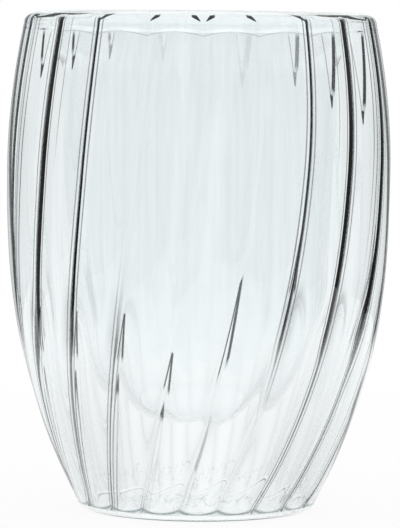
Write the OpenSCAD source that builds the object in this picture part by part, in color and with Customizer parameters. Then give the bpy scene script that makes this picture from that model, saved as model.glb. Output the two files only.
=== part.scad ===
// Double-walled chai glass: a smooth round-bottomed bowl hangs from a fused lip
// inside an outer wall of swirling convex flutes. +Z is up, and the origin is
// the centre of the ring that the glass stands on.

/* [Glass] */
// Height from the table to the top of the lip
height = 110; // [95:1:140]
// Widest diameter, across the belly
belly_d = 85; // [78:1:100]
// Height of the belly above the table
belly_z = 76; // [60:1:82]
// Diameter that the shoulder curves in to, at lip height
shoulder_d = 77; // [74:1:82]
// Diameter that the belly curves in to, at table height
foot_d = 51; // [46:1:60]
// Thickness of the outer wall at the crest of a flute
wall_t = 1.8; // [1.5:0.1:2.4]

/* [Flutes] */
// Number of flutes round the wall
flutes = 20; // [12:1:24]
// Depth of the creases between the flutes, at the belly
crease_depth = 0.8; // [0.3:0.1:1.2]
// Depth of the same creases on the cavity side of the wall
cavity_depth = 0.5; // [0.1:0.1:0.9]
// Angle that a flute swirls through from the lip to the table
belly_turn = 24; // [0:1:60]
// Further angle that it swirls through as it runs in over the foot
foot_turn = 5.5; // [0:0.5:15]
// Height over which the flutes rise out of the smooth foot
flute_rise = 2.6; // [1:0.1:6]

/* [Bowl] */
// Thickness of the bowl
bowl_t = 1.5; // [1:0.1:2.2]
// Air gap between bowl and outer wall at the belly
belly_gap = 9.4; // [6:0.1:12]
// Air gap between bowl and outer wall just under the lip
lip_gap = 3.2; // [2:0.1:5]
// Air gap between the bottom of the bowl and the base
floor_gap = 15.6; // [6:0.1:24]
// How much narrower the bowl gets, in radius, down to its round bottom
bowl_taper = 1.8; // [0:0.1:4]
// Height of the flare that leads the bowl out to the lip
flare_h = 9; // [5:0.5:16]

/* [Lip] */
// Height of the solid lip where the two walls are fused
lip_h = 4; // [3:0.1:6]
// Height of the rounding on top of the lip
lip_round_h = 2.4; // [1.5:0.1:3]
// Rise of the arch that closes the air gap under the lip
arch_h = 0.9; // [0.3:0.1:1.2]

/* [Base] */
// Height of the base up to its seam with the fluted wall
base_h = 1.7; // [1.3:0.1:2.4]
// Radius of the rounding from the base to the table
foot_round = 3.2; // [2.6:0.1:6]
// Width of the flat ring that the glass stands on
stand_w = 4.5; // [2:0.1:7]
// Thickness of the base
base_t = 2; // [1.6:0.1:2.6]
// Rise of the hollow under the base, at its centre
punt_h = 1.4; // [0.8:0.1:2.4]
// Diameter of the vent hole that lets the hot air out when the walls are fused
vent_d = 4; // [2:0.1:6]
// Width of the collar by which the seal overlaps the vent hole
seal_collar = 1.3; // [0.6:0.1:2]
// Thickness of that collar
seal_t = 0.7; // [0.4:0.1:0.7]

/* [Hidden] */
$fn = 144;

// How fully the shoulder and the belly round out before they curve in
shoulder_power_share = 1.9;
belly_power_share = 2.5;
// How late the swirl sets in down the wall, and how late it quickens at the foot
swirl_power_share = 2;
foot_swirl_power_share = 12;
// How narrow the creases are against the width of a flute
crease_power_share = 2.4;
// How closely the rings of the wall crowd towards the foot
ring_power_share = 1.5;
// Part of the lip's rounding that the creases climb before they run out
crease_climb_share = 0.5;

// Steps in the outlines: across a flute, up the wall on both sides, and round the lip
flute_steps = 6;
wall_steps = 24;
cavity_steps = 16;
lip_steps = 8;
arch_steps = 4;
curve_steps = 24;

pitch = 360 / flutes;
belly_r = belly_d / 2;
shoulder_r = shoulder_d / 2;
foot_r = foot_d / 2;
lip_z = height - lip_h;
round_z = height - lip_round_h;

// Outer wall: radius at the crest of a flute, at height z
function shoulder_share(z) = pow((z - belly_z) / (height - belly_z), shoulder_power_share);
function belly_share(z) = pow((belly_z - z) / belly_z, belly_power_share);
function wall_r(z) =
    z > belly_z
        ? belly_r - (belly_r - shoulder_r) * shoulder_share(z)
        : belly_r - (belly_r - foot_r) * belly_share(z);

// Swirl: angle that a flute has turned through at height z, none at the lip
function swirl(z) =
    let (fall_share = 1 - z / height)
    -belly_turn * pow(fall_share, swirl_power_share)
    - foot_turn * pow(fall_share, foot_swirl_power_share);

// Creases: they shrink with the wall's radius, and rise out of the smooth foot
function smooth_share(x) = (1 - cos(180 * max(0, min(1, x)))) / 2;
function crease_share(z) = wall_r(z) / belly_r * smooth_share((z - base_h) / flute_rise);

// Place across a flute, from -1 at one crease through 0 at the crest to 1 at the next
function across(i) = sin(90 * (2 * (i % flute_steps) / flute_steps - 1));
function turned(r, angle, z) = [r * cos(angle), r * sin(angle), z];

// One ring of the wall: radius r at the crests, less the creases, swirled as at height z.
// The first crease lies on the X axis at the lip.
function outer_ring(r, z, depth) = [
    for (i = [0 : flutes * flute_steps - 1])
    let (flute = floor(i / flute_steps), x = across(i))
    turned(
        r - depth * pow(abs(x), crease_power_share),
        (flute + (1 + x) / 2) * pitch + swirl(z),
        z
    )
];

// The same ring on the cavity side, where the creases are softer
function cavity_ring(r, z, depth, arch_z) = [
    for (i = [0 : flutes * flute_steps - 1])
    let (flute = floor(i / flute_steps), x = across(i))
    turned(
        r - depth * smooth_share(abs(x)),
        (flute + (1 + x) / 2) * pitch + swirl(z),
        z + arch_z
    )
];

// A closed skin over rings stacked in a loop, each joined to the next and the last to the first
module ring_loop(rings) {
    n = len(rings[0]);
    m = len(rings);
    polyhedron(
        points = [for (ring = rings) for (p = ring) p],
        faces = [
            for (j = [0 : m - 1])
            for (i = [0 : n - 1])
            let (
                a = j * n + i,
                b = j * n + (i + 1) % n,
                c = (j + 1) % m * n + (i + 1) % n,
                d = (j + 1) % m * n + i
            )
            for (face = [[a, c, b], [a, d, c]]) face
        ],
        convexity = 8
    );
}

// Height of step i of n up the wall, with the steps crowded towards the foot
function step_z(i, n) = base_h + (lip_z - base_h) * pow(i / n, ring_power_share);

// Fluted wall from the seam with the base up to the seam with the lip
module outer_wall() {
    outer = [
        for (i = [0 : wall_steps])
        let (z = step_z(i, wall_steps))
        outer_ring(wall_r(z), z, crease_depth * crease_share(z))
    ];
    cavity = [
        for (i = [cavity_steps : -1 : 0])
        let (z = step_z(i, cavity_steps))
        cavity_ring(wall_r(z) - wall_t, z, cavity_depth * crease_share(z), 0)
    ];
    color("lightcyan")
    ring_loop(concat(outer, cavity));
}

// Bowl: outer radii at the belly, at the lip and in the round bottom
bowl_r = belly_r - wall_t - belly_gap;
mouth_r = wall_r(lip_z) - wall_t - cavity_depth - lip_gap;
bottom_r = bowl_r - bowl_taper;
bowl_z = punt_h + base_t + floor_gap;
bottom_z = bowl_z + bottom_r;
flare_z = lip_z - flare_h;

// Outline of the bowl's outside, drawn in by inset all the way round
function bowl_outline(inset) = concat(
    [
        for (i = [0 : curve_steps - 1])
        let (a = 90 * i / curve_steps)
        [(bottom_r - inset) * sin(a), bottom_z - (bottom_r - inset) * cos(a)]
    ],
    [
        for (i = [0 : curve_steps - 1])
        let (q = i / curve_steps)
        [bottom_r - inset + bowl_taper * smooth_share(q), bottom_z + (flare_z - bottom_z) * q]
    ],
    [
        for (i = [0 : curve_steps])
        let (q = i / curve_steps)
        [bowl_r - inset + (mouth_r - bowl_r) * smooth_share(q), flare_z + flare_h * q]
    ]
);

function reversed(points) = [for (i = [len(points) - 1 : -1 : 0]) points[i]];

// Bowl that holds the tea, hung from the lip
module inner_bowl() {
    color("azure")
    rotate_extrude()
    polygon(concat(bowl_outline(0), reversed(bowl_outline(bowl_t))));
}

// Lip: the solid ring that closes the gap between the two walls
mouth_in_r = mouth_r - bowl_t;
lip_mid_r = (wall_r(round_z) + mouth_in_r) / 2;
lip_half_w = (wall_r(round_z) - mouth_in_r) / 2;

// Ring at angle a round the top of the lip, from 0 at its outside to 180 at its inside
function lip_ring(a) =
    let (
        z = round_z + lip_round_h * sin(a),
        crease = crease_depth * crease_share(round_z) * (1 - smooth_share(a / 180 / crease_climb_share))
    )
    outer_ring(lip_mid_r + lip_half_w * cos(a), z, crease);

module lip() {
    outside = [outer_ring(wall_r(lip_z), lip_z, crease_depth * crease_share(lip_z))];
    top = [for (i = [0 : lip_steps]) lip_ring(180 * i / lip_steps)];
    inside = [
        outer_ring(mouth_in_r, lip_z, 0),
        outer_ring(mouth_r, lip_z, 0)
    ];
    arch_w = wall_r(lip_z) - wall_t - mouth_r;
    arch = [
        for (i = [1 : arch_steps])
        let (q = i / arch_steps)
        cavity_ring(
            mouth_r + arch_w * q,
            lip_z,
            cavity_depth * crease_share(lip_z) * q,
            arch_h * sin(180 * q)
        )
    ];
    color("lightcyan")
    ring_loop(concat(outside, top, inside, arch));
}

// Base: angle that its rounding turns through, and the edges of the flat standing ring
round_angle = acos(1 - base_h / foot_round);
stand_r = wall_r(base_h) - foot_round * sin(round_angle);
punt_r = stand_r - stand_w;
cavity_foot_r = wall_r(base_h) - wall_t;

// Height of the hollow under the base at radius r
function punt_z(r) = punt_h * smooth_share(1 - r / punt_r);

// Smooth base with the flat standing ring, the hollow inside it and the vent hole
module base() {
    vent_r = vent_d / 2;
    underside = [
        for (i = [0 : curve_steps])
        let (r = vent_r + (punt_r - vent_r) * i / curve_steps)
        [r, punt_z(r)]
    ];
    rounding = [
        for (i = [0 : curve_steps])
        let (a = round_angle * i / curve_steps)
        [stand_r + foot_round * sin(a), foot_round * (1 - cos(a))]
    ];
    floor_line = [
        for (i = [curve_steps : -1 : 0])
        let (r = vent_r + (punt_r - vent_r) * i / curve_steps)
        [r, punt_z(r) + base_t]
    ];
    color("azure")
    rotate_extrude()
    polygon(concat(underside, rounding, [[cavity_foot_r, base_h]], floor_line));
}

// Seal: a shank melted into the vent hole, with a thin collar in the hollow of the base
module vent_seal() {
    vent_r = vent_d / 2;
    collar_r = vent_r + seal_collar;
    collar_line = [
        for (i = [0 : curve_steps])
        let (r = vent_r + seal_collar * i / curve_steps)
        [r, punt_z(r)]
    ];
    collar_round = [
        for (i = [0 : curve_steps])
        let (a = 90 * i / curve_steps)
        [collar_r * cos(a), punt_z(collar_r) - seal_t * sin(a)]
    ];
    shank_z = punt_z(vent_r) + base_t;
    color("white")
    rotate_extrude()
    polygon(concat([[0, shank_z], [vent_r, shank_z]], collar_line, collar_round));
}

outer_wall();
inner_bowl();
lip();
base();
vent_seal();
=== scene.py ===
"""Looks of the double-walled chai glass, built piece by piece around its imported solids.

The outer wall, bowl, lip, base and vent seal are fused on the real glass. Here each piece is a
closed mesh, and the faces where two pieces are fused let everything through, so that light
meets glass only where the real glass has a surface. Sizes are in metres.
"""

import math

import bpy
import numpy as np
from mathutils import Matrix, Vector


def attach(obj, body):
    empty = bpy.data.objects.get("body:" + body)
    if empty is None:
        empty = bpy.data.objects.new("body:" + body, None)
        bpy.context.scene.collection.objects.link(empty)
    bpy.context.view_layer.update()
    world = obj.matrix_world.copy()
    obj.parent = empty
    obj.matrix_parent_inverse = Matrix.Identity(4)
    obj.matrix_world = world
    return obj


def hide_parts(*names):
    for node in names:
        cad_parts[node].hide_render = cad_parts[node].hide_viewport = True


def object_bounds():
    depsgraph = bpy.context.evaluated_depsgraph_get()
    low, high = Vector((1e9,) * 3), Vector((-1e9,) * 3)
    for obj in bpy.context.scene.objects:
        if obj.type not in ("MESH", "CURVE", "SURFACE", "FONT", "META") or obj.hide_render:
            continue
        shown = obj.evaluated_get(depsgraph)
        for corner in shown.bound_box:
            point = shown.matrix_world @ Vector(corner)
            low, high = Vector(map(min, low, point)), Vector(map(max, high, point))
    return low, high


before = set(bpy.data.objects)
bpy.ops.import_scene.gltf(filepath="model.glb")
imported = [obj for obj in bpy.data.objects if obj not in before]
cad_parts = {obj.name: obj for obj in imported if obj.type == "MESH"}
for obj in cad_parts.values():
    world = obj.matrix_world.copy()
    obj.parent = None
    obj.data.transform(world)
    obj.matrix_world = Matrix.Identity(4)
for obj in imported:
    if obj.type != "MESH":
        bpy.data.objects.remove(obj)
cad_low, cad_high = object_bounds()

# Sizes of the glass, which part.scad states in the same words
MM = 0.001
HEIGHT = cad_high.z
BELLY_R = 42.5 * MM
BELLY_Z = 76 * MM
SHOULDER_R = 38.5 * MM
FOOT_R = 25.5 * MM
WALL_T = 1.8 * MM
FLUTES = 20
CREASE_DEPTH = 0.8 * MM
CAVITY_DEPTH = 0.5 * MM
BELLY_TURN = math.radians(24)
FOOT_TURN = math.radians(5.5)
BOWL_T = 1.5 * MM
BELLY_GAP = 9.4 * MM
LIP_GAP = 3.2 * MM
FLOOR_GAP = 15.6 * MM
BOWL_TAPER = 1.8 * MM
FLARE_H = 9 * MM
LIP_H = 4 * MM
LIP_ROUND_H = 2.4 * MM
ARCH_H = 0.9 * MM
BASE_H = 1.7 * MM
FOOT_ROUND = 3.2 * MM
STAND_W = 4.5 * MM
BASE_T = 2 * MM
PUNT_H = 1.4 * MM
VENT_R = 2 * MM
SEAL_COLLAR = 1.3 * MM
SEAL_T = 0.7 * MM

SHOULDER_POWER = 1.9
BELLY_POWER = 2.5
SWIRL_POWER = 2
FOOT_SWIRL_POWER = 12

# How the creases are cut: a broad rounded part and a narrow notch along its middle
NOTCH_SHARE = 0.12
NOTCH_POWER = 8
# How sharply the cavity side of a crease is rounded
SOFT_POWER = 8
# What the cavity side is cut deeper low down, from this height over this span
LOW_DEPTH = 0.8 * MM
LOW_TOP = 55 * MM
LOW_SPAN = 25 * MM
# Height over which the cavity side's creases begin above the base
CAVITY_START = 3 * MM
# Fall of the smooth foot away from the crests, which ends the creases in scallops
FOOT_FALL = 0.4
# Angle up the lip's rounding at which the creases have run out, and what the arch loses there
CREASE_END = math.radians(75)
ARCH_DROP_SHARE = 0.8

# Steps of the meshes
FLUTE_STEPS = 20
WALL_ROWS = 150
CAVITY_ROWS = 90
BOWL_ROWS = 40
ROUND_ROWS = 24
LIP_ROWS = 8
ARCH_ROWS = 16
SEAT_ROWS = 6
RING_POWER = 1.3

LIP_Z = HEIGHT - LIP_H
ROUND_Z = HEIGHT - LIP_ROUND_H
GLASS, FUSED, CAVITY = 0, 1, 2


def wall_r(z):
    """Radius of the outer wall at the crest of a flute."""
    if z > BELLY_Z:
        rise = (z - BELLY_Z) / (HEIGHT - BELLY_Z)
        return BELLY_R - (BELLY_R - SHOULDER_R) * rise**SHOULDER_POWER
    fall = (BELLY_Z - z) / BELLY_Z
    return BELLY_R - (BELLY_R - FOOT_R) * fall**BELLY_POWER


ROUND_ANGLE = math.acos(1 - BASE_H / FOOT_ROUND)
STAND_R = wall_r(BASE_H) - FOOT_ROUND * math.sin(ROUND_ANGLE)
PUNT_R = STAND_R - STAND_W
BOWL_R = BELLY_R - WALL_T - BELLY_GAP
MOUTH_R = wall_r(LIP_Z) - WALL_T - CAVITY_DEPTH - LIP_GAP
BOTTOM_R = BOWL_R - BOWL_TAPER
BOWL_Z = PUNT_H + BASE_T + FLOOR_GAP
BOTTOM_Z = BOWL_Z + BOTTOM_R
FLARE_Z = LIP_Z - FLARE_H


def swirl(z):
    """Angle that a flute has turned through at height z, none at the lip."""
    fall = 1 - z / HEIGHT
    return -BELLY_TURN * fall**SWIRL_POWER - FOOT_TURN * fall**FOOT_SWIRL_POWER


def smooth(x):
    """A soft step from 0 to 1."""
    return (1 - np.cos(np.pi * np.clip(x, 0, 1))) / 2


# Place of each column of points across its flute, from -1 at a crease to 1 at the next one
step = np.arange(FLUTES * FLUTE_STEPS)
across = np.sin(np.pi / 2 * (2 * (step % FLUTE_STEPS) / FLUTE_STEPS - 1))
around = (step // FLUTE_STEPS + (1 + across) / 2) * 2 * np.pi / FLUTES
crease = (1 - NOTCH_SHARE) * across**2 + NOTCH_SHARE * np.abs(across) ** NOTCH_POWER
soft_crease = (across**2 - 2 / SOFT_POWER * np.abs(across) ** SOFT_POWER) / (1 - 2 / SOFT_POWER)


def ring(r, z, turn):
    """Points of one ring, with r and z either plain or one value for each column."""
    angle = around + turn
    return np.column_stack([r * np.cos(angle), r * np.sin(angle), np.broadcast_to(z, angle.shape)])


def outer_ring(r, z, depth, limit):
    """Ring of the outer face, with creases of a depth that the limit cuts off."""
    return ring(r - np.minimum(depth * crease, limit), z, swirl(z))


def crease_depth(z):
    """Depth of a crease, which is less where the wall is narrower."""
    return CREASE_DEPTH * wall_r(z) / BELLY_R


def closed_piece(name, rings, fused, materials, caps=(), cavity=()):
    """A closed skin over rings stacked in a loop. Row i lies between ring i and the next one,
    and fused names the rows that meet another piece. A cap closes a ring over its middle."""
    columns, rows = len(rings[0]), len(rings)
    points = np.concatenate(rings)
    i = np.arange(columns)
    faces, slots = [], []
    last = rows if not caps else rows - 1
    for row in range(last):
        a = row * columns + i
        b = row * columns + (i + 1) % columns
        c = (row + 1) % rows * columns + (i + 1) % columns
        d = (row + 1) % rows * columns + i
        faces += np.column_stack([a, b, c, d]).tolist()
        slots += [FUSED if row in fused else CAVITY if row in cavity else GLASS] * columns
    for row, centre, backwards in caps:
        tip = len(points)
        points = np.concatenate([points, [centre]])
        a = row * columns + i
        b = row * columns + (i + 1) % columns
        if backwards:
            a, b = b, a
        faces += np.column_stack([a, b, np.full(columns, tip)]).tolist()
        slots += [GLASS] * columns
    mesh = bpy.data.meshes.new(name)
    mesh.from_pydata(points.tolist(), [], faces)
    mesh.polygons.foreach_set("material_index", slots)
    mesh.polygons.foreach_set("use_smooth", [True] * len(slots))
    mesh.update()
    edge_slots = {}
    for polygon in mesh.polygons:
        for key in polygon.edge_keys:
            edge_slots.setdefault(key, set()).add(polygon.material_index)
    for edge in mesh.edges:
        edge.use_edge_sharp = len(edge_slots[edge.key]) > 1
    for material in materials:
        mesh.materials.append(material)
    piece = bpy.data.objects.new(name, mesh)
    bpy.context.scene.collection.objects.link(piece)
    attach(piece, "root")
    return piece


# Clear borosilicate with a faint cool tint, and the painted shade that each piece darkens to at a
# slant and in the painted dark lines and marks of its creases
GLASS_IOR = 1.47
TINT = (0.977, 0.989, 0.992)
EDGE_SHADE = (0.95, 0.99, 1)
CREASE_SHADE = (0, 0, 0)
SCALLOP_SHADE = (0.12, 0.16, 0.17)
BOWL_SHADE = (0.8, 0.84, 0.85)
LIP_TINT = (0.94, 0.975, 0.98)
LIP_SHADE = (0.8, 0.86, 0.87)
BASE_SHADE = (0, 0.01, 0.01)
SEAL_SHADE = (0.6, 0.66, 0.67)
# Between which slants the painted shade darkens the glass, where 0 is square on and 1 edge on
EDGE_SLANT = (0.1, 0.95)
SLANT = (0.5, 1)
LIP_SLANT = (0.6, 1)
# Drawn streaks and waves of the surface: how fine across and along, share of both, height
FINE_STREAKS = (900, 900, 25)
SLOW_WAVES = (160, 160, 40)
STREAK_SHARE = 0.3
WAVE_SHARE = 1
BUMP_HEIGHT = 0.000008

# Painted shade of the creases: dark lines, hooks, legs, flames, wedges and seam lines in place of the
# dark images that the glass bends into view
# The angle round the axis at which the glass has its front, and how much faster than round a
# circle the marks run on away from it
MARK_FRONT = math.radians(-91)
MARK_SPREAD = 0.0456
# How much at a slant the wall is seen where the long lines begin and where they're full
LINE_SLANT = (0.05, 0.12)
# The painted dark flank of a crease: its least and full width in parts of a flute, how far to the
# side of the glass and how much at a slant it widens, and its share of that width low down
CORE_W = (0.07, 0.22)
CORE_ASIDE = (0.58, 0.84)
CORE_SLANT = (0.16, 0.42)
CORE_LOW = 0.55
# How softly it begins and stops across the flute
CORE_START = (-0.008, 0.004)
CORE_STOP = (-0.004, 0.008)
# It is a little greyer where it begins, and all of it at the far left, where both edges are dark
CORE_GREY = (0.1, 0.4, 0.92, 1)
FAR_LEFT = (-0.95, -0.88)
GREY_LEFT = 0.995
CORE_EDGE = 0.01
CORE_EDGE_WIDE = (0.004, 0.02)
# Its share of the width at the far left and the far right, and how far it moves across the flute
# at both
SLIM_LEFT = 0.42
FAR_SIDE = (0.88, 0.95)
SLIM_RIGHT = 0.55
CORE_SHIFT = 0.14
# Thin painted dark lines before and beyond it: place, half width and softness, strength, and how the
# further one's place follows the width of the dark flank
LINE_ASIDE = (0.38, 0.48)
NEAR_BAND = (-0.047, 0.006, 0.01)
NEAR_LINE = 0.8
FAR_BAND = (0, 0.01, 0.012)
FAR_LINE = 0.85
FAR_PLACE = (0.85, 0.08)
# The thin painted dark line down the middle of a flute: place, heights between which it ends,
# strength, and how far aside it begins
MIDDLE_PLACE = -0.04
MIDDLE_FADE = (74 * MM, 88 * MM)
MIDDLE_LINE = 0.75
MIDDLE_WIDE = (0.004, 0.014)
MIDDLE_ASIDE = (0.66, 0.72)
MIDDLE_END = (0.84, 0.9)
# More thin painted dark lines at both sides of the glass: where they begin, their places across the flute
OUTLINE_ASIDE = (0.86, 0.93)
OUTLINE_PLACES = (0.28, 0.44)
OUTLINE_WIDE = (0.012, 0.016)
OUTLINE_LINE = 0.95
# The thin painted dark line at each side of the glass, a painted shade where it is seen edge on
EDGE_LINE = (0.986, 0.003, 0.004)
EDGE_LINE_SLANT = (0.7, 0.8)
EDGE_LINE_STRENGTH = 0.97
# Heights between which the lines end on the rim
RIM_FADE = (108.9 * MM, 109.5 * MM)
# Above this height only the outer side of the rim shows them, from this distance from the axis
RIM_FLOOR = 100 * MM
RIM_REACH = (35 * MM, 35.6 * MM)
# Heights between which the lines fade downwards, and what is left of them at the foot
LINE_FADE = (34 * MM, 41 * MM)
LINE_LOW = 0.95
# From where to where, across the front, marks change from their left kind to their right kind
FRONT = (-0.1, 0.1)
# The painted dark hooks: place across the flute, which changes to the side, and their length,
# longer to the right, with how their two legs spread upwards
HOOK_ASIDE = (0.4, 0.9)
HOOK_SHIFT = (-0.17, 0.3)
HOOK_LENGTH_ASIDE = (0.5, 0.87)
HOOK_LENGTH = (6 * MM, 10.5 * MM)
HOOK_RIGHT = 1.9
HOOK_OUT = 0.12 / (10 * MM)
HOOK_IN = 0.09 / (10 * MM)
# The thick leg: half width to the left and to the right, softness, and where it begins above the
# dark tip. The thin leg: half width, softness and strength. The tip: height, width and softness
HOOK_THICK = (0.026, 0.042)
HOOK_THICK_SOFT = 0.02
HOOK_THICK_START = (3 * MM, 5 * MM)
HOOK_THIN = (0.008, 0.02, 0.75, 0)
HOOK_TIP = (3 * MM, 4 * MM)
HOOK_TIP_WIDE = 0.04
HOOK_TIP_SOFT = (0.004, 0.016)
# How dark the hooks are, where round the glass they get so and where they end, and their top
HOOK_LINE = 0.995
HOOK_DARKEN = (0.2, 0.65, 0.2, 1)
HOOK_END = (0.92, 0.95)
HOOK_TOP = (LIP_Z - 1 * MM, LIP_Z + 1 * MM)
# How softly the hooks and the tips begin along the wall
POINT_SOFT = 0.6 * MM
# The tips of the painted dark legs: height at the front, rise to the side up to a limit, with more
# of it to the right, place across the flute at the front and to the side, length of their legs to
# the left and right
TIP_Z = 33 * MM
TIP_RISE = (65 * MM, 26 * MM)
TIP_RISE_LIMIT = 0.35
TIP_SHIFT = (0.055, -0.2)
TIP_LEG = (11.5 * MM, 15 * MM)
TIP_RIGHT = (0.05, 0.25)
# Their legs: spread, half width and softness, extra width of the right one, end and strength
LEG_SPREAD = 0.06
LEG_WIDE = (0.008, 0.022)
LEG_EXTRA = 0.008
LEG_END = 2 * MM
LEG_LINE = 0.98
# The second pair under the first: gap between them, length, width, fade and strengths
TIP_STEP = (1.5 * MM, 4.5 * MM)
STEP_RIGHT = (-0.15, 0)
LOW_LEG = 12 * MM
LOW_LEG_BAND = (0, 0.006, 0.03)
LOW_LEG_START = 1 * MM
LOW_LEG_FADE = (5 * MM, 13 * MM, 0.97, 0.85)
LOW_LEFT = (-0.65, -0.4, 1, 0.22)
LOW_RIGHT = 0.25
LOW_FAR_RIGHT = (0.62, 0.8)
# The painted dark flame where it begins
FLAME_TAPER = 4 * MM
FLAME_HALF = 0.045
FLAME_SOFT = (-0.004, 0.01)
FLAME_FADE = (4 * MM, 7 * MM, 0.97, 0)
FLAME_RIGHT = (-0.1, 0.05, 1, 0.6)
# How far the flutes' ends rise from crest to crease above the base, and the width of the painted
# shade line along them
SCALLOP_H = 1.0 * MM
SCALLOP_LINE = 0.65 * MM
# The thin painted shade line where the bowl joins the lip: height, fall at the creases, width and
# strength
SEAM_Z = 106.3 * MM
SEAM_FALL = 0.9 * MM
SEAM_LINE = 0.22 * MM
SEAM_SHADE = 0.5
SEAM_END = (0.75, 0.85)
# The painted dark wedges beside a crease's top: heights at their thick end, what both edges rise by
# over a flute's width, how soft they end, and where they lie across the flute
WEDGE_LOW = 108.4 * MM
WEDGE_HIGH = 109.7 * MM
WEDGE_UNDER_RISE = 6 * MM
WEDGE_OVER_RISE = 1.5 * MM
WEDGE_EDGE = 0.06 * MM
WEDGE_START = 108.7 * MM
WEDGE_STEEP = 16 * MM
WEDGE_GAP = 0.05
WEDGE_SIDE_SOFT = 0.01
# Where they end across the flute, and from where to where round the glass that changes
WEDGE_END = (0.23, 0.4)
WEDGE_END_ASIDE = (0.35, 0.58)
WEDGE_END_SOFT = 0.03
# Both flanks of a crease have them at the front, and one to the side, up to the far side
WEDGE_BOTH = (0.1, 0.2)
WEDGE_ONE_SOFT = 0.02
WEDGE_FAR = (0.7, 0.8)
# Faint upright streaks: fineness across and along the wall, contrast, strength, and the heights
# between which they fade out
STREAK_SCALE = (700, 700, 12)
STREAK_EDGE = (0.35, 0.65)
STREAK_TONE = 0.065
STREAK_FADE = (35 * MM, 50 * MM)
# Painted shade on the lower wall at both sides of the glass
LOW_FADE = (10 * MM, 45 * MM)
LOW_SIDE_SHADE = 0.3
# The rippled line above the base: height, how far it strays, its width and its strength
RIPPLE_Z = 5 * MM
RIPPLE_WAVE = 9 * MM
RIPPLE_LINE = 0.4 * MM
RIPPLE_TONE = 0.35
# Soft patches of painted shade round the creases where the bowl narrows: height, fade up and
# down, fade across the flute, strength, and how far aside they begin
PATCH_Z = 44 * MM
PATCH_FADE = (2 * MM, 11 * MM)
PATCH_WIDE = (0.04, 0.22)
PATCH_SHADE = 0.5
PATCH_ASIDE = (0.35, 0.55)
# Soft painted shade along the creases, low down and high up, and how quickly it fades across the
# flute
CREASE_SIDE_SHADE = (0.2, 0.02)
SIDE_POWER = 3
# Lower edge of the base's rounding, darkened by a painted shade line: its heights, and how far out
# it begins
FOOT_LINE = (0.25 * MM, 0.6 * MM)
FOOT_REACH = (STAND_R + 0.2 * MM, STAND_R + 0.5 * MM)


def maths(nodes, links, operation, a, b=None, c=None):
    """A maths node on sockets or plain numbers."""
    node = nodes.new("ShaderNodeMath")
    node.operation = operation
    for k, value in enumerate((a, b, c)):
        if value is None:
            continue
        if isinstance(value, (int, float)):
            node.inputs[k].default_value = value
        else:
            links.new(value, node.inputs[k])
    return node.outputs[0]


def ramp(nodes, links, value, start, end, low=0, high=1):
    """A soft step of a socket, from low at start to high at end."""
    node = nodes.new("ShaderNodeMapRange")
    node.interpolation_type = "SMOOTHSTEP"
    links.new(value, node.inputs["Value"])
    for name, number in (("From Min", start), ("From Max", end), ("To Min", low), ("To Max", high)):
        if isinstance(number, (int, float)):
            node.inputs[name].default_value = number
        else:
            links.new(number, node.inputs[name])
    return node.outputs["Result"]


def new_group(name, inputs, outputs):
    """An empty node group with named sockets, each given as (name, kind)."""
    group = bpy.data.node_groups.new(name, "ShaderNodeTree")
    for title, kind in inputs:
        group.interface.new_socket(title, in_out="INPUT", socket_type=kind)
    for title, kind in outputs:
        group.interface.new_socket(title, in_out="OUTPUT", socket_type=kind)
    entry = group.nodes.new("NodeGroupInput")
    leave = group.nodes.new("NodeGroupOutput")
    return group, entry.outputs, leave.inputs


NUMBER, COLOUR, VECTOR = "NodeSocketFloat", "NodeSocketColor", "NodeSocketVector"


def make_place_group():
    """Where a point lies between the creases of the fluted wall, and how the wall faces there."""
    group, given, out = new_group(
        "flute_place",
        [("Point", VECTOR)],
        [("Offset", NUMBER), ("Height", NUMBER), ("Reach", NUMBER), ("Way", NUMBER), ("Face", VECTOR)],
    )
    nodes, links = group.nodes, group.links

    def calc(operation, a, b=None, c=None):
        return maths(nodes, links, operation, a, b, c)

    split = nodes.new("ShaderNodeSeparateXYZ")
    links.new(given["Point"], split.inputs[0])
    x, y, z = split.outputs
    links.new(z, out["Height"])
    fall = calc("SUBTRACT", 1, calc("DIVIDE", z, HEIGHT))
    turn = calc("MULTIPLY", calc("POWER", fall, SWIRL_POWER), BELLY_TURN)
    foot = calc("MULTIPLY", calc("POWER", fall, FOOT_SWIRL_POWER), FOOT_TURN)
    angle = calc("ADD", calc("ADD", calc("ARCTAN2", y, x), turn), foot)
    place = calc("FRACT", calc("ADD", calc("DIVIDE", angle, 2 * math.pi / FLUTES), FLUTES + 0.5))
    links.new(calc("SUBTRACT", place, 0.5), out["Offset"])

    lean = calc("MAXIMUM", calc("DIVIDE", calc("SUBTRACT", BELLY_Z, z), BELLY_Z), 0)
    lean = calc("POWER", lean, BELLY_POWER - 1)
    lean = calc("MULTIPLY", lean, -(BELLY_R - FOOT_R) / BELLY_Z * BELLY_POWER)
    reach = calc("SQRT", calc("ADD", calc("MULTIPLY", x, x), calc("MULTIPLY", y, y)))
    links.new(reach, out["Reach"])
    face = nodes.new("ShaderNodeCombineXYZ")
    links.new(calc("DIVIDE", x, reach), face.inputs[0])
    links.new(calc("DIVIDE", y, reach), face.inputs[1])
    links.new(lean, face.inputs[2])
    unit = nodes.new("ShaderNodeVectorMath")
    unit.operation = "NORMALIZE"
    links.new(face.outputs[0], unit.inputs[0])
    links.new(unit.outputs[0], out["Face"])
    from_front = calc("SUBTRACT", calc("ARCTAN2", y, x), MARK_FRONT)
    spread = calc("MULTIPLY_ADD", calc("COSINE", from_front), MARK_SPREAD, 1)
    links.new(calc("MULTIPLY", calc("SINE", from_front), spread), out["Way"])
    return group


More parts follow.
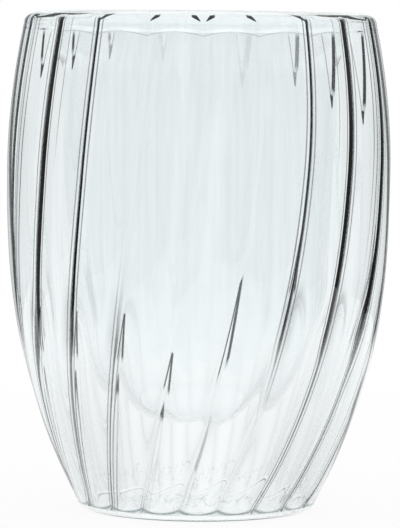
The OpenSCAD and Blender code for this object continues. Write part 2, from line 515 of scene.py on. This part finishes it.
def make_painted_shade_group():
    """Painted shade of the creases: dark lines and marks in place of the dark images that the glass
    bends into view. Their places are fixed on the glass: Way runs from 0 at its front to 1 at its
    right side and -1 at its left one, and from there to 0 at the back. The long lines show where the
    wall is seen at a slant."""
    group, given, out = new_group(
        "painted_crease_shade",
        [("Offset", NUMBER), ("Height", NUMBER), ("Reach", NUMBER), ("Way", NUMBER), ("Facing", NUMBER)],
        [("Line", NUMBER), ("Wedge", NUMBER), ("Scallop", NUMBER), ("Aside", NUMBER)],
    )
    nodes, links = group.nodes, group.links

    def calc(operation, a, b=None, c=None):
        return maths(nodes, links, operation, a, b, c)

    def step_up(value, start, end, low=0, high=1):
        return ramp(nodes, links, value, start, end, low, high)

    def times(first, *rest):
        for value in rest:
            first = calc("MULTIPLY", first, value)
        return first

    def most(first, *rest):
        for value in rest:
            first = calc("MAXIMUM", first, value)
        return first

    def band(value, middle, half, edge):
        off = calc("ABSOLUTE", calc("SUBTRACT", value, middle))
        return step_up(off, half, half + edge, 1, 0)

    offset, z, way = given["Offset"], given["Height"], given["Way"]
    aside = calc("ABSOLUTE", way)
    links.new(aside, out["Aside"])
    inward = times(calc("SIGN", way), offset, -1)
    gap = calc("ABSOLUTE", offset)

    # The painted dark flank of a crease, and painted thin dark lines on both sides of it
    slim_slant = step_up(given["Facing"], *CORE_SLANT, *CORE_W)
    width = calc("MINIMUM", step_up(aside, *CORE_ASIDE, *CORE_W), slim_slant)
    width = times(width, step_up(z, *LINE_FADE, CORE_LOW, 1))
    width = times(width, step_up(way, *FAR_LEFT, SLIM_LEFT, 1))
    width = times(width, step_up(way, *FAR_SIDE, 1, SLIM_RIGHT))
    place = calc("ADD", inward, step_up(aside, *FAR_SIDE, 0, CORE_SHIFT))
    beyond = calc("SUBTRACT", place, width)
    further = calc("SUBTRACT", place, calc("MULTIPLY_ADD", width, *FAR_PLACE))
    core = times(step_up(place, *CORE_START), step_up(beyond, *CORE_STOP, 1, 0))
    core = times(core, step_up(calc("DIVIDE", place, width), *CORE_GREY))
    core = times(core, step_up(way, *FAR_LEFT, GREY_LEFT, 1))
    edges = most(band(place, CORE_EDGE, *CORE_EDGE_WIDE), band(beyond, -CORE_EDGE, *CORE_EDGE_WIDE))
    core = most(core, times(edges, step_up(way, *FAR_LEFT, 1, 0)))
    near = times(band(place, *NEAR_BAND), NEAR_LINE)
    far = times(band(further, *FAR_BAND), FAR_LINE)
    lines = times(most(core, near, far), step_up(aside, *LINE_ASIDE))
    more = most(*[band(inward, middle, *OUTLINE_WIDE) for middle in OUTLINE_PLACES])
    more = times(more, step_up(aside, *OUTLINE_ASIDE), OUTLINE_LINE)
    within = calc("SUBTRACT", inward, times(calc("SIGN", inward), 0.5))
    centre = band(within, MIDDLE_PLACE, *MIDDLE_WIDE)
    centre = times(centre, step_up(z, *MIDDLE_FADE, 0, MIDDLE_LINE))
    centre = times(centre, step_up(aside, *MIDDLE_ASIDE), step_up(aside, *MIDDLE_END, 1, 0))
    upper = times(most(lines, more, centre), step_up(given["Facing"], *LINE_SLANT))
    at_side = times(band(aside, *EDGE_LINE), step_up(given["Facing"], *EDGE_LINE_SLANT))
    upper = most(upper, times(at_side, EDGE_LINE_STRENGTH))
    upper = times(upper, step_up(z, *LINE_FADE, LINE_LOW, 1), step_up(z, *RIM_FADE, 1, 0))

    # Painted dark hooks that hang from the lip between two creases, each with a thick leg and a thin one
    hook_place = calc("SUBTRACT", within, step_up(aside, *HOOK_ASIDE, *HOOK_SHIFT))
    length = times(step_up(aside, *HOOK_LENGTH_ASIDE, *HOOK_LENGTH), step_up(way, *FRONT, 1, HOOK_RIGHT))
    hang = calc("SUBTRACT", z, calc("SUBTRACT", LIP_Z, length))
    outer_leg = calc("ABSOLUTE", calc("MULTIPLY_ADD", hang, HOOK_OUT, hook_place))
    inner_leg = calc("ABSOLUTE", calc("SUBTRACT", hook_place, times(hang, HOOK_IN)))
    thick = calc("SUBTRACT", outer_leg, step_up(way, *FRONT, *HOOK_THICK))
    thick = times(step_up(thick, 0, HOOK_THICK_SOFT, 1, 0), step_up(hang, *HOOK_THICK_START))
    thin = step_up(calc("MINIMUM", inner_leg, outer_leg), *HOOK_THIN)
    wide = calc("MINIMUM", times(hang, HOOK_OUT), HOOK_TIP_WIDE)
    dark_tip = calc("SUBTRACT", calc("ABSOLUTE", hook_place), wide)
    dark_tip = times(step_up(dark_tip, *HOOK_TIP_SOFT, 1, 0), step_up(hang, *HOOK_TIP, 1, 0))
    hook = times(most(thick, thin, dark_tip), step_up(hang, 0, POINT_SOFT), HOOK_LINE)
    hook = times(hook, step_up(aside, *HOOK_DARKEN), step_up(aside, *HOOK_END, 1, 0))
    hook = times(hook, step_up(z, *HOOK_TOP, 1, 0))

    # Painted dark legs that spread downwards from a tip, twice one under the other
    tip_rise = calc("MULTIPLY_ADD", calc("SIGN", way), TIP_RISE[1], TIP_RISE[0])
    tip = calc("MULTIPLY_ADD", calc("MINIMUM", aside, TIP_RISE_LIMIT), tip_rise, TIP_Z)
    tip_off = calc("SUBTRACT", offset, calc("MULTIPLY_ADD", way, TIP_SHIFT[1], TIP_SHIFT[0]))
    tip_gap = calc("ABSOLUTE", tip_off)
    right_half = calc("GREATER_THAN", tip_off, 0)
    leg = step_up(way, *TIP_RIGHT, *TIP_LEG)
    drop = calc("SUBTRACT", tip, z)
    spread = calc("SUBTRACT", tip_gap, calc("MULTIPLY", calc("DIVIDE", drop, leg), LEG_SPREAD))
    spread = calc("SUBTRACT", calc("ABSOLUTE", spread), calc("MULTIPLY", right_half, LEG_EXTRA))
    legs = times(step_up(spread, *LEG_WIDE, 1, 0), step_up(drop, 0, POINT_SOFT))
    legs = times(legs, step_up(calc("SUBTRACT", leg, drop), 0, LEG_END), LEG_LINE)
    drop = calc("SUBTRACT", calc("SUBTRACT", drop, leg), step_up(way, *STEP_RIGHT, *TIP_STEP))
    low_spread = calc("MINIMUM", calc("MULTIPLY", drop, LEG_SPREAD / LOW_LEG), LEG_SPREAD)
    low_legs = band(calc("SUBTRACT", tip_gap, low_spread), *LOW_LEG_BAND)
    low_legs = times(low_legs, step_up(drop, 0, LOW_LEG_START), step_up(drop, *LOW_LEG_FADE))
    middle = times(step_up(way, *LOW_LEFT), step_up(way, *TIP_RIGHT, 1, LOW_RIGHT))
    low_legs = times(low_legs, most(middle, step_up(way, *LOW_FAR_RIGHT)))
    flame = calc("MULTIPLY", calc("MINIMUM", calc("DIVIDE", drop, FLAME_TAPER), 1), FLAME_HALF)
    flame = times(step_up(calc("SUBTRACT", flame, tip_gap), *FLAME_SOFT), step_up(drop, *FLAME_FADE))
    flame = times(flame, step_up(drop, 0, POINT_SOFT), step_up(way, *FLAME_RIGHT))

    # Painted dark wedges on the lip, which rise away from the crease
    rise = calc("SUBTRACT", gap, WEDGE_GAP)
    under = calc("SUBTRACT", z, calc("MULTIPLY_ADD", rise, WEDGE_UNDER_RISE, WEDGE_LOW))
    over = calc("MULTIPLY_ADD", rise, WEDGE_OVER_RISE, WEDGE_HIGH)
    over = calc("MINIMUM", over, calc("MULTIPLY_ADD", rise, WEDGE_STEEP, WEDGE_START))
    over = calc("SUBTRACT", over, z)
    wedge = times(step_up(under, 0, WEDGE_EDGE), step_up(over, 0, WEDGE_EDGE))
    wedge = times(wedge, step_up(rise, -WEDGE_SIDE_SOFT, WEDGE_SIDE_SOFT))
    past_end = calc("SUBTRACT", gap, step_up(aside, *WEDGE_END_ASIDE, *WEDGE_END))
    wedge = times(wedge, step_up(past_end, -WEDGE_END_SOFT, 0, 1, 0))
    one_side = step_up(inward, -WEDGE_ONE_SOFT, WEDGE_ONE_SOFT)
    wedge = times(wedge, most(one_side, step_up(aside, *WEDGE_BOTH, 1, 0)))
    outer_side = most(step_up(given["Reach"], *RIM_REACH), step_up(z, RIM_FLOOR, RIM_FLOOR + MM, 1, 0))
    links.new(times(wedge, outer_side, step_up(aside, *WEDGE_FAR, 1, 0)), out["Wedge"])

    # Painted shade lines along the scalloped edge above the base and along the seam of the lip, which
    # follow the flutes
    climb = calc("SUBTRACT", 1, calc("MULTIPLY", gap, 2))
    climb = times(climb, climb, SCALLOP_H)
    off = calc("ABSOLUTE", calc("SUBTRACT", calc("SUBTRACT", z, BASE_H), climb))
    links.new(step_up(off, 0, SCALLOP_LINE, 1, 0), out["Scallop"])
    seam_z = calc("MULTIPLY_ADD", climb, -SEAM_FALL / SCALLOP_H, SEAM_Z)
    seam = calc("ABSOLUTE", calc("SUBTRACT", z, seam_z))
    seam = times(step_up(seam, 0, SEAM_LINE, SEAM_SHADE, 0), step_up(aside, *SEAM_END, 1, 0))
    links.new(times(most(upper, hook, legs, low_legs, flame, seam), outer_side), out["Line"])
    return group


def make_shade_group():
    """Colour of clear glass with painted shade where it is seen at a slant."""
    group, given, out = new_group(
        "slant_shade",
        [("Tint", COLOUR), ("Shade", COLOUR), ("Facing", NUMBER), ("Start", NUMBER), ("End", NUMBER)],
        [("Color", COLOUR)],
    )
    nodes, links = group.nodes, group.links
    slant = ramp(nodes, links, given["Facing"], given["Start"], given["End"])
    mix = nodes.new("ShaderNodeMixRGB")
    links.new(slant, mix.inputs[0])
    links.new(given["Tint"], mix.inputs[1])
    links.new(given["Shade"], mix.inputs[2])
    links.new(mix.outputs[0], out["Color"])
    return group


def make_tint_and_shade_group():
    """Tint of the fluted wall with faint upright streaks, and painted shade on it: deeper low down at
    both sides, soft along the creases and in dark patches round them. A rippled line above the base
    is darker too."""
    group, given, out = new_group(
        "wall_tint_and_painted_shade",
        [("Tint", COLOUR), ("Point", VECTOR), ("Height", NUMBER), ("Offset", NUMBER), ("Aside", NUMBER)],
        [("Color", COLOUR)],
    )
    nodes, links = group.nodes, group.links

    def calc(operation, a, b=None, c=None):
        return maths(nodes, links, operation, a, b, c)

    def step_up(value, start, end, low=0, high=1):
        return ramp(nodes, links, value, start, end, low, high)

    stretch = nodes.new("ShaderNodeMapping")
    links.new(given["Point"], stretch.inputs["Vector"])
    stretch.inputs["Scale"].default_value = STREAK_SCALE
    noise = nodes.new("ShaderNodeTexNoise")
    noise.inputs["Scale"].default_value = 1
    noise.inputs["Detail"].default_value = 2
    links.new(stretch.outputs[0], noise.inputs["Vector"])
    height, gap = given["Height"], calc("ABSOLUTE", given["Offset"])
    streaks = step_up(noise.outputs[0], *STREAK_EDGE, 0, STREAK_TONE)
    streaks = calc("MULTIPLY", streaks, step_up(height, *STREAK_FADE))
    # Painted shade: deeper low down at both sides, along the creases and in patches round them
    low = step_up(height, *LOW_FADE, LOW_SIDE_SHADE, 0)
    low = calc("MULTIPLY", low, calc("MULTIPLY", given["Aside"], given["Aside"]))
    side = calc("POWER", calc("SUBTRACT", 1, calc("MULTIPLY", gap, 2)), SIDE_POWER)
    side = calc("MULTIPLY", side, step_up(height, *LOW_FADE, *CREASE_SIDE_SHADE))
    wave = calc("MULTIPLY_ADD", calc("SUBTRACT", noise.outputs[0], 0.5), RIPPLE_WAVE, RIPPLE_Z)
    off = calc("ABSOLUTE", calc("SUBTRACT", height, wave))
    ripple = step_up(off, 0, RIPPLE_LINE, RIPPLE_TONE, 0)
    patch = step_up(calc("ABSOLUTE", calc("SUBTRACT", height, PATCH_Z)), *PATCH_FADE, 1, 0)
    patch = calc("MULTIPLY", patch, step_up(gap, *PATCH_WIDE, PATCH_SHADE, 0))
    patch = calc("MULTIPLY", patch, step_up(given["Aside"], *PATCH_ASIDE))
    total = streaks
    for part in (ripple, low, side, patch):
        total = calc("ADD", total, part)
    level = calc("SUBTRACT", 1, total)
    scale = nodes.new("ShaderNodeVectorMath")
    scale.operation = "SCALE"
    links.new(given["Tint"], scale.inputs[0])
    links.new(level, scale.inputs["Scale"])
    links.new(scale.outputs[0], out["Color"])
    return group


def make_streak_group():
    """Faint upright streaks and slow waves of drawn glass, as a height for bump."""
    group, given, out = new_group(
        "drawn_streaks", [("Point", VECTOR), ("Streaks", NUMBER), ("Waves", NUMBER)], [("Height", NUMBER)]
    )
    nodes, links = group.nodes, group.links
    parts = []
    for share, scale in (("Streaks", FINE_STREAKS), ("Waves", SLOW_WAVES)):
        stretch = nodes.new("ShaderNodeMapping")
        links.new(given["Point"], stretch.inputs["Vector"])
        stretch.inputs["Scale"].default_value = scale
        noise = nodes.new("ShaderNodeTexNoise")
        noise.inputs["Scale"].default_value = 1
        noise.inputs["Detail"].default_value = 2
        links.new(stretch.outputs[0], noise.inputs["Vector"])
        parts.append(maths(nodes, links, "MULTIPLY", noise.outputs[0], given[share]))
    links.new(maths(nodes, links, "ADD", parts[0], parts[1]), out["Height"])
    return group


def new_material(name):
    """A material with its nodes and links."""
    material = bpy.data.materials.new(name)
    material.use_nodes = True
    return material, material.node_tree.nodes, material.node_tree.links


def add_group(nodes, group, **values):
    """A node group placed in a material with its own values."""
    node = nodes.new("ShaderNodeGroup")
    node.node_tree = group
    for name, value in values.items():
        node.inputs[name].default_value = value
    return node


def glass_shader(nodes, links, point):
    """The clear glass itself, with its streaks."""
    shader = nodes["Principled BSDF"]
    shader.inputs["Roughness"].default_value = 0
    shader.inputs["IOR"].default_value = GLASS_IOR
    shader.inputs["Transmission Weight"].default_value = 1
    streak = add_group(nodes, streak_group, Streaks=STREAK_SHARE, Waves=WAVE_SHARE)
    links.new(point, streak.inputs["Point"])
    bump = nodes.new("ShaderNodeBump")
    bump.inputs["Distance"].default_value = BUMP_HEIGHT
    links.new(streak.outputs["Height"], bump.inputs["Height"])
    links.new(bump.outputs["Normal"], shader.inputs["Normal"])
    return shader


def glass_material(name, shade, start, end, tint=TINT):
    """Clear glass with painted shade at a slant from start to end, where 0 is square on and 1 edge on."""
    material, nodes, links = new_material(name)
    place = nodes.new("ShaderNodeTexCoord")
    shader = glass_shader(nodes, links, place.outputs["Object"])
    slant = nodes.new("ShaderNodeLayerWeight")
    slant.inputs["Blend"].default_value = 0.5
    colour = add_group(nodes, shade_group, Tint=(*tint, 1), Shade=(*shade, 1), Start=start, End=end)
    links.new(slant.outputs["Facing"], colour.inputs["Facing"])
    links.new(colour.outputs["Color"], shader.inputs["Base Color"])
    return material


def fluted_material(name, tint, edge_shade, mark_shade):
    """Outer face of the fluted wall, with the painted shade of its creases, dark lines and marks that
    show from outside.
    """
    material, nodes, links = new_material(name)
    place = nodes.new("ShaderNodeTexCoord")
    shader = glass_shader(nodes, links, place.outputs["Object"])
    where = add_group(nodes, place_group)
    links.new(place.outputs["Object"], where.inputs["Point"])
    marks = add_group(nodes, painted_shade_group)
    links.new(where.outputs["Offset"], marks.inputs["Offset"])
    links.new(where.outputs["Height"], marks.inputs["Height"])
    links.new(where.outputs["Reach"], marks.inputs["Reach"])
    links.new(where.outputs["Way"], marks.inputs["Way"])
    slant = nodes.new("ShaderNodeLayerWeight")
    slant.inputs["Blend"].default_value = 0.5
    links.new(where.outputs["Face"], slant.inputs["Normal"])
    links.new(slant.outputs["Facing"], marks.inputs["Facing"])
    side = nodes.new("ShaderNodeNewGeometry")
    outside = maths(nodes, links, "SUBTRACT", 1, side.outputs["Backfacing"])

    tone = add_group(nodes, tint_and_shade_group, Tint=(*tint, 1))
    links.new(place.outputs["Object"], tone.inputs["Point"])
    links.new(where.outputs["Height"], tone.inputs["Height"])
    links.new(where.outputs["Offset"], tone.inputs["Offset"])
    links.new(marks.outputs["Aside"], tone.inputs["Aside"])
    # Painted shade where the wall is seen at a slant
    edge = add_group(nodes, shade_group, Shade=(*edge_shade, 1))
    edge.inputs["Start"].default_value = EDGE_SLANT[0]
    edge.inputs["End"].default_value = EDGE_SLANT[1]
    links.new(tone.outputs["Color"], edge.inputs["Tint"])
    links.new(maths(nodes, links, "MULTIPLY", slant.outputs["Facing"], outside), edge.inputs["Facing"])
    # Painted shade of the creases: their dark lines, then the scallop and wedge marks
    line = nodes.new("ShaderNodeMixRGB")
    links.new(maths(nodes, links, "MULTIPLY", marks.outputs["Line"], outside), line.inputs[0])
    links.new(edge.outputs["Color"], line.inputs[1])
    line.inputs[2].default_value = (*CREASE_SHADE, 1)
    mark = nodes.new("ShaderNodeMixRGB")
    either = maths(nodes, links, "MAXIMUM", marks.outputs["Scallop"], marks.outputs["Wedge"])
    links.new(maths(nodes, links, "MULTIPLY", either, outside), mark.inputs[0])
    links.new(line.outputs[0], mark.inputs[1])
    mark.inputs[2].default_value = (*mark_shade, 1)
    links.new(mark.outputs[0], shader.inputs["Base Color"])
    return material


def foot_material(name, tint, shade):
    """Clear glass of the base, with a painted dark shade line along the lower edge of its rounding."""
    material, nodes, links = new_material(name)
    place = nodes.new("ShaderNodeTexCoord")
    shader = glass_shader(nodes, links, place.outputs["Object"])
    where = add_group(nodes, place_group)
    links.new(place.outputs["Object"], where.inputs["Point"])
    low = ramp(nodes, links, where.outputs["Height"], *FOOT_LINE, 1, 0)
    far_out = ramp(nodes, links, where.outputs["Reach"], *FOOT_REACH)
    colour = add_group(nodes, shade_group, Tint=(*tint, 1), Shade=(*shade, 1), Start=0, End=1)
    links.new(maths(nodes, links, "MULTIPLY", low, far_out), colour.inputs["Facing"])
    links.new(colour.outputs["Color"], shader.inputs["Base Color"])
    return material


def fused_material():
    """The faces where two pieces are fused, which show nothing."""
    material, nodes, links = new_material("fused_joint")
    clear = nodes.new("ShaderNodeBsdfTransparent")
    nodes.remove(nodes["Principled BSDF"])
    links.new(clear.outputs[0], nodes["Material Output"].inputs["Surface"])
    return material


place_group = make_place_group()
painted_shade_group = make_painted_shade_group()
tint_and_shade_group = make_tint_and_shade_group()
shade_group = make_shade_group()
streak_group = make_streak_group()
fused = fused_material()
fluted_glass = fluted_material("fluted_glass", TINT, EDGE_SHADE, SCALLOP_SHADE)
cavity_glass = glass_material("cavity_side_glass", TINT, *SLANT)
bowl_glass = glass_material("bowl_glass", BOWL_SHADE, *SLANT)
lip_glass = glass_material("lip_glass", LIP_SHADE, *LIP_SLANT, tint=LIP_TINT)
fluted_lip_glass = fluted_material("fluted_lip_glass", LIP_TINT, LIP_SHADE, CREASE_SHADE)
base_glass = foot_material("base_glass", TINT, BASE_SHADE)
seal_glass = glass_material("seal_glass", SEAL_SHADE, *SLANT)


def wall_heights(rows):
    """Heights of the wall's rings, closer together near the base."""
    share = (np.arange(rows + 1) / rows) ** RING_POWER
    return BASE_H + (LIP_Z - BASE_H) * share


def make_outer_wall():
    """The fluted wall, from the seam at the base to the seam at the lip."""
    outer = [
        outer_ring(wall_r(z), z, crease_depth(z), (z - BASE_H) * FOOT_FALL)
        for z in wall_heights(WALL_ROWS)
    ]
    cavity = []
    for z in wall_heights(CAVITY_ROWS)[::-1]:
        depth = CAVITY_DEPTH + LOW_DEPTH * smooth((LOW_TOP - z) / LOW_SPAN)
        depth = depth * wall_r(z) / BELLY_R * smooth((z - BASE_H) / CAVITY_START)
        cavity.append(ring(wall_r(z) - WALL_T - depth * soft_crease, z, swirl(z)))
    rings = outer + cavity
    joins = {len(outer) - 1, len(rings) - 1}
    inner_rows = range(len(outer), len(rings) - 1)
    materials = [fluted_glass, fused, cavity_glass]
    return closed_piece("outer_wall_glass", rings, joins, materials, cavity=inner_rows)


def bowl_outline(inset):
    """Outline of the bowl from its round bottom up to the lip, as (radius, height) pairs."""
    r = BOTTOM_R - inset
    quarter = np.linspace(0, np.pi / 2, BOWL_ROWS + 1)[1:-1]
    bottom = [(r * math.sin(a), BOTTOM_Z - r * math.cos(a)) for a in quarter]
    up = np.linspace(0, 1, BOWL_ROWS + 1)[:-1]
    side = [(r + BOWL_TAPER * smooth(q), BOTTOM_Z + (FLARE_Z - BOTTOM_Z) * q) for q in up]
    out = np.linspace(0, 1, BOWL_ROWS // 2 + 1)
    flare = [(BOWL_R - inset + (MOUTH_R - BOWL_R) * smooth(q), FLARE_Z + FLARE_H * q) for q in out]
    return bottom + side + flare


def make_inner_bowl():
    """The smooth bowl with its round bottom."""
    outside = [ring(r, z, swirl(LIP_Z)) for r, z in bowl_outline(0)]
    inside = [ring(r, z, swirl(LIP_Z)) for r, z in bowl_outline(BOWL_T)[::-1]]
    rings = outside + inside
    caps = [
        (0, (0, 0, BOWL_Z), True),
        (len(rings) - 1, (0, 0, BOWL_Z + BOWL_T), False),
    ]
    return closed_piece("inner_bowl_glass", rings, {len(outside) - 1}, [bowl_glass, fused], caps)


def make_lip():
    """The rounded ring that joins both walls, with the low arch under it."""
    inside_r = MOUTH_R - BOWL_T
    middle = (wall_r(ROUND_Z) + inside_r) / 2
    half = (wall_r(ROUND_Z) - inside_r) / 2
    outside = [
        outer_ring(wall_r(z), z, crease_depth(z), CREASE_DEPTH)
        for z in np.linspace(LIP_Z, ROUND_Z, LIP_ROWS)[:-1]
    ]
    top = []
    for a in np.linspace(0, np.pi, 2 * ROUND_ROWS + 1):
        z = ROUND_Z + LIP_ROUND_H * math.sin(a)
        limit = CREASE_DEPTH * max(0, 1 - a / CREASE_END)
        top.append(outer_ring(middle + half * math.cos(a), z, crease_depth(ROUND_Z), limit))
    inside = [ring(inside_r, z, swirl(z)) for z in np.linspace(ROUND_Z, LIP_Z, LIP_ROWS)[1:]]
    arch = []
    wall_in = wall_r(LIP_Z) - WALL_T - CAVITY_DEPTH * wall_r(LIP_Z) / BELLY_R * soft_crease
    for q in np.linspace(0, 1, ARCH_ROWS + 1):
        rise = ARCH_H * math.sin(math.pi * q) * (1 - ARCH_DROP_SHARE * across**2)
        arch.append(ring(MOUTH_R + (wall_in - MOUTH_R) * q, LIP_Z + rise, swirl(LIP_Z)))
    rings = outside + top + inside + arch
    joins = {len(outside) + len(top) + len(inside) - 1, len(rings) - 1}
    inner_rows = range(len(outside) + len(top) // 2, len(rings) - 1)
    materials = [fluted_lip_glass, fused, lip_glass]
    return closed_piece("lip_glass", rings, joins, materials, cavity=inner_rows)


def punt_z(r):
    """Height of the hollow under the base."""
    return PUNT_H * smooth(1 - r / PUNT_R)


def make_base():
    """The smooth base with its standing ring, its hollow and the hole of the vent."""
    turn = swirl(BASE_H)
    hollow_r = np.linspace(PUNT_R, VENT_R + SEAL_COLLAR, ROUND_ROWS)
    hollow = [(r, punt_z(r)) for r in hollow_r]
    seat_r = np.linspace(VENT_R + SEAL_COLLAR, VENT_R, SEAT_ROWS)[1:]
    under_collar = [(r, punt_z(r)) for r in seat_r]
    rounding = [
        (STAND_R + FOOT_ROUND * math.sin(a), FOOT_ROUND * (1 - math.cos(a)))
        for a in np.linspace(ROUND_ANGLE, 0, ROUND_ROWS)
    ]
    floor_line = [(r, punt_z(r) + BASE_T) for r in np.linspace(VENT_R, PUNT_R, ROUND_ROWS)]
    outline = rounding + hollow + under_collar + floor_line + [(wall_r(BASE_H) - WALL_T, BASE_H)]
    rings = [ring(r, z, turn) for r, z in outline[::-1]]
    # Fused faces: the side of the hole and the seal's seat, and the seam with the outer wall
    hole = len(floor_line)
    joins = set(range(hole, hole + SEAT_ROWS)) | {len(rings) - 1}
    return closed_piece("base_glass", rings, joins, [base_glass, fused])


def make_vent_seal():
    """The plug in the hole of the vent, with a low dome under it."""
    turn = swirl(BASE_H)
    collar_r = VENT_R + SEAL_COLLAR
    top_z = punt_z(VENT_R) + BASE_T
    dome = [
        (collar_r * math.cos(a), punt_z(collar_r) - SEAL_T * math.sin(a))
        for a in np.linspace(0, np.pi / 2, ROUND_ROWS)[:-1]
    ]
    seat = [(r, punt_z(r)) for r in np.linspace(VENT_R, collar_r, SEAT_ROWS)[:-1]]
    rings = [ring(r, z, turn) for r, z in dome[::-1] + seat[::-1] + [(VENT_R, top_z)]]
    joins = set(range(len(dome) - 1, len(rings) - 1))
    caps = [
        (len(rings) - 1, (0, 0, top_z), False),
        (0, (0, 0, punt_z(collar_r) - SEAL_T), True),
    ]
    return closed_piece("vent_seal_glass", rings, joins, [seal_glass, fused], caps)


outer_wall = make_outer_wall()
inner_bowl = make_inner_bowl()
lip = make_lip()
base = make_base()
vent_seal = make_vent_seal()
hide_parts("outer_wall")
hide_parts("inner_bowl")
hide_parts("lip")
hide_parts("base")
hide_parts("vent_seal")


# Floor: radius, colour, finish, and how much of it shows as plain white
FLOOR_R = 0.26
FLOOR_SIDES = 96
FLOOR_GREY = (0.9, 0.9, 0.9)
FLOOR_ROUGH = 0.9
FLOOR_WHITE = 0.93


def make_floor():
    """A pale disc that keeps the shadow of the glass and can be seen through from below."""
    material, nodes, links = new_material("pale_floor")
    shader = nodes["Principled BSDF"]
    shader.inputs["Base Color"].default_value = (*FLOOR_GREY, 1)
    shader.inputs["Roughness"].default_value = FLOOR_ROUGH
    path = nodes.new("ShaderNodeLightPath")
    glow = nodes.new("ShaderNodeEmission")
    seen = maths(nodes, links, "MAXIMUM", path.outputs["Is Camera Ray"], path.outputs["Is Glossy Ray"])
    top = nodes.new("ShaderNodeMixShader")
    links.new(maths(nodes, links, "MULTIPLY", seen, FLOOR_WHITE), top.inputs[0])
    links.new(shader.outputs[0], top.inputs[1])
    links.new(glow.outputs[0], top.inputs[2])
    underneath = nodes.new("ShaderNodeNewGeometry")
    clear = nodes.new("ShaderNodeBsdfTransparent")
    both = nodes.new("ShaderNodeMixShader")
    links.new(underneath.outputs["Backfacing"], both.inputs[0])
    links.new(top.outputs[0], both.inputs[1])
    links.new(clear.outputs[0], both.inputs[2])
    links.new(both.outputs[0], nodes["Material Output"].inputs["Surface"])
    angle = np.linspace(0, 2 * np.pi, FLOOR_SIDES + 1)[:-1]
    points = [(FLOOR_R * math.cos(a), FLOOR_R * math.sin(a), 0) for a in angle]
    mesh = bpy.data.meshes.new("floor")
    mesh.from_pydata(points, [], [list(range(len(points)))])
    mesh.materials.append(material)
    floor = bpy.data.objects.new("floor", mesh)
    bpy.context.scene.collection.objects.link(floor)


# The studio is plain white. What the glass mirrors and what is seen through it also has black
# flags, out of sight, a little off the lines of sight from all four sides: how many, where they
# begin and are dense, in values of the wave round the glass, and how much light they leave. Seen
# through the glass they're faint, and the glass mirrors them darker.
FLAGS = 4
FLAG_EDGE = (0.1, 0.25)
FLAG_SEEN = 0.97
MIRROR_EDGE = (0.75, 0.9)
FLAG_MIRRORED = 0.2
MIRRORED_TINT = (0.97, 0.995, 1)
# Heights on the sky, from -1 straight down to 1 straight up, between which the flags end downwards
# and upwards, and what is added to the wave to end them
FLAG_BOTTOM = (-0.2, -0.24)
FLAG_CLEAR = 2
FLAG_TOP = (0.2, 0.8)
# Light of the studio below and above the horizon, the brighter band above it, and the lamp overhead
STUDIO_FADE = (-0.15, -0.02, 1, 0.9)
HORIZON_BAND = (0, 0.06, 0, 0.1)
LAMP_RISE = (0.5, 0.95, 0, 0.1)


def make_world():
    """Plain white for the camera and on the object, and the studio for what the glass shows."""
    world = bpy.data.worlds.new("studio")
    bpy.context.scene.world = world
    world.use_nodes = True
    nodes, links = world.node_tree.nodes, world.node_tree.links

    def calc(operation, a, b=None, c=None):
        return maths(nodes, links, operation, a, b, c)

    def slope(value, start, end, low=0, high=1):
        """A straight step of a socket."""
        result = ramp(nodes, links, value, start, end, low, high)
        result.node.interpolation_type = "LINEAR"
        return result

    plain = nodes["Background"]
    plain.inputs["Color"].default_value = (1, 1, 1, 1)
    place = nodes.new("ShaderNodeTexCoord")
    split = nodes.new("ShaderNodeSeparateXYZ")
    links.new(place.outputs["Generated"], split.inputs[0])
    x, y, z = split.outputs
    wave = calc("COSINE", calc("MULTIPLY", calc("ARCTAN2", y, x), FLAGS))
    wave = calc("ADD", wave, slope(z, *FLAG_BOTTOM, 0, FLAG_CLEAR))
    path = nodes.new("ShaderNodeLightPath")
    seen = ramp(nodes, links, wave, *FLAG_EDGE, FLAG_SEEN, 1)
    mirrored = ramp(nodes, links, wave, *MIRROR_EDGE, FLAG_MIRRORED, 1)
    open_way = calc("MAXIMUM", mirrored, path.outputs["Is Transmission Ray"])
    open_way = calc("MINIMUM", open_way, seen)
    level = calc("MAXIMUM", open_way, slope(z, *FLAG_TOP))
    lamp = ramp(nodes, links, z, *LAMP_RISE)
    band = ramp(nodes, links, z, *HORIZON_BAND)
    total = calc("MULTIPLY_ADD", level, slope(z, *STUDIO_FADE), calc("ADD", lamp, band))
    studio = nodes.new("ShaderNodeBackground")
    studio.inputs["Color"].default_value = (*MIRRORED_TINT, 1)
    links.new(total, studio.inputs["Strength"])
    mix = nodes.new("ShaderNodeMixShader")
    links.new(path.outputs["Is Glossy Ray"], mix.inputs[0])
    links.new(plain.outputs[0], mix.inputs[1])
    links.new(studio.outputs[0], mix.inputs[2])
    links.new(mix.outputs[0], nodes["World Output"].inputs["Surface"])


make_floor()
make_world()

# Camera: nearly level, a little above the lip, about 0.93 m away and a degree to the left, with
# the small roll of the photograph
CAMERA_TURN = math.radians(-1)
CAMERA_DISTANCE = 0.933
CAMERA_HEIGHT = 0.122
CAMERA_ASIDE = 0.0004
AIM_HEIGHT = 0.0543
LENS = 288
SENSOR_W = 36
ROLL = math.radians(0.5)


def make_camera():
    """The camera of the photograph."""
    data = bpy.data.cameras.new("camera")
    data.lens = LENS
    data.sensor_width = SENSOR_W
    camera = bpy.data.objects.new("camera", data)
    bpy.context.scene.collection.objects.link(camera)
    about = Matrix.Rotation(CAMERA_TURN, 4, "Z")
    place = about @ Vector((CAMERA_ASIDE, -CAMERA_DISTANCE, CAMERA_HEIGHT))
    aim = about @ Vector((CAMERA_ASIDE, 0, AIM_HEIGHT))
    turn = (aim - place).to_track_quat("-Z", "Y").to_matrix().to_4x4()
    camera.matrix_world = Matrix.Translation(place) @ turn @ Matrix.Rotation(ROLL, 4, "Z")
    bpy.context.scene.camera = camera


make_camera()
scene = bpy.context.scene
scene.view_settings.view_transform = "Standard"
# Light runs a long way inside the lip and the walls before it leaves them
BOUNCES = 96
scene.cycles.max_bounces = BOUNCES
scene.cycles.transmission_bounces = BOUNCES
scene.cycles.glossy_bounces = BOUNCES
scene.cycles.transparent_max_bounces = BOUNCES
